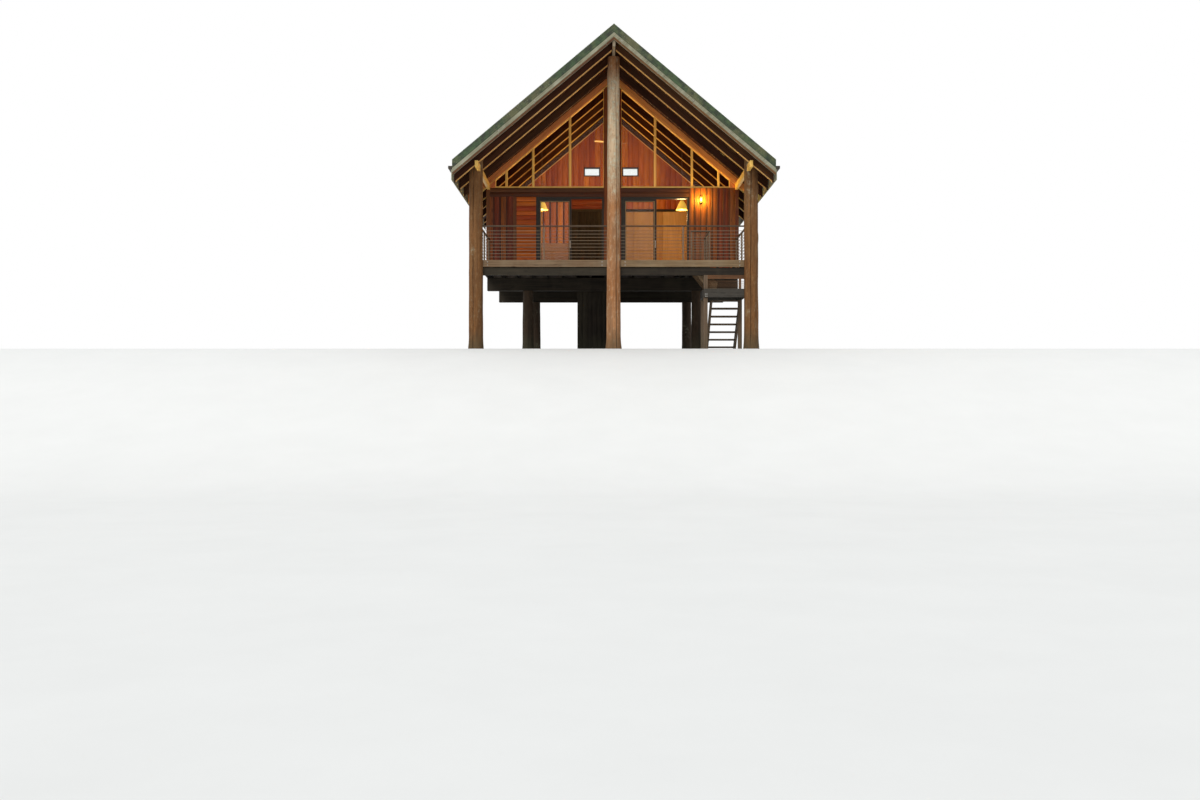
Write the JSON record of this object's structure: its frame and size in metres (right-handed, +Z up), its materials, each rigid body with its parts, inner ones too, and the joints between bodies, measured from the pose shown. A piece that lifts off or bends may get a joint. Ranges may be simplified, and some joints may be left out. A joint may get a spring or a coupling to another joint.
{
  "type": "tree house",
  "caption": "Timber tree house on tall logs with an open gable roof over a front deck, glazed gable, sliding doors and a stair with a landing.",
  "frame": {"origin": "on the ground under the middle of the roof", "axes": "+X to the right seen from the front, +Y from the deck to the rear wall along the ridge, +Z up"},
  "size_m": [9.22, 9.58, 9.019],
  "materials": {
    "log_timber": "weathered log",
    "frame_timber": "stained timber",
    "ceiling_boards": "clear-finished boards",
    "roof_metal": "matt dark green ribbed sheet",
    "grey_boards": "weathered grey-brown boards",
    "deck_boards": "oiled deck boards",
    "dark_timber": "dark stained timber",
    "wall_boards": "reddish stained boards",
    "glass": "clear glass",
    "dark_frames": "dark powder coat",
    "steel": "satin",
    "fan_finish": "satin brown",
    "lamp_shade": "lit shade",
    "lamp_glass": "lit glass"
  },
  "bodies": {
    "house": {"front_log": "log_timber", "corner_log_left": "log_timber", "corner_log_right": "log_timber", "under_logs": "log_timber", "ridge_beam": "frame_timber", "eave_beams": "frame_timber", "rafters": "frame_timber", "ceiling_left": "ceiling_boards", "ceiling_right": "ceiling_boards", "roof_left": "roof_metal", "roof_right": "roof_metal", "ridge_cap": "roof_metal", "verge_caps": "roof_metal", "gutters": "roof_metal", "barge_boards": "grey_boards", "eave_boards": "grey_boards", "front_fascias": "grey_boards", "side_fascias": "grey_boards", "rear_fascia": "grey_boards", "landing": "grey_boards", "landing_guard": "grey_boards", "upper_flight": "grey_boards", "lower_flight": "grey_boards", "deck_floor": "deck_boards", "cabin_floor": "deck_boards", "floor_joists": "dark_timber", "bearers": "dark_timber", "service_core": "dark_timber", "front_header": "dark_timber", "front_wall_left": "wall_boards", "front_wall_right": "wall_boards", "left_wall": "wall_boards", "right_wall": "wall_boards", "rear_wall": "wall_boards", "centre_post": "wall_boards", "gable_frame": "wall_boards", "gable_glass": "glass", "rear_window_glass": "glass", "fixed_glass": "glass", "door_frames": "dark_frames", "rear_window_frames": "dark_frames", "front_guard_left": "steel", "front_guard_right": "steel", "side_guards": "steel", "stair_guard": "steel", "fan_mount": "fan_finish", "pendant_lamps": "lamp_shade", "wall_lamp": "lamp_glass"},
    "left_door": {"left_door_leaf": "dark_frames", "left_door_glass": "glass", "left_door_handle": "steel"},
    "right_door": {"right_door_leaf": "dark_frames", "right_door_glass": "glass", "right_door_handle": "steel"},
    "fan": {"fan_rotor": "fan_finish"}
  },
  "joints": [
    {"name": "left_door_slide", "type": "slide", "parent": "house", "child": "left_door", "axis": [1, 0, 0], "range_m": [0, 0.943]},
    {"name": "right_door_slide", "type": "slide", "parent": "house", "child": "right_door", "axis": [1, 0, 0], "range_m": [0, 0.943]},
    {"name": "fan_spin", "type": "hinge", "parent": "house", "child": "fan", "pos_m": [0, 1.4, 7.078], "axis": [0, 0, 1], "continuous": true}
  ]
}
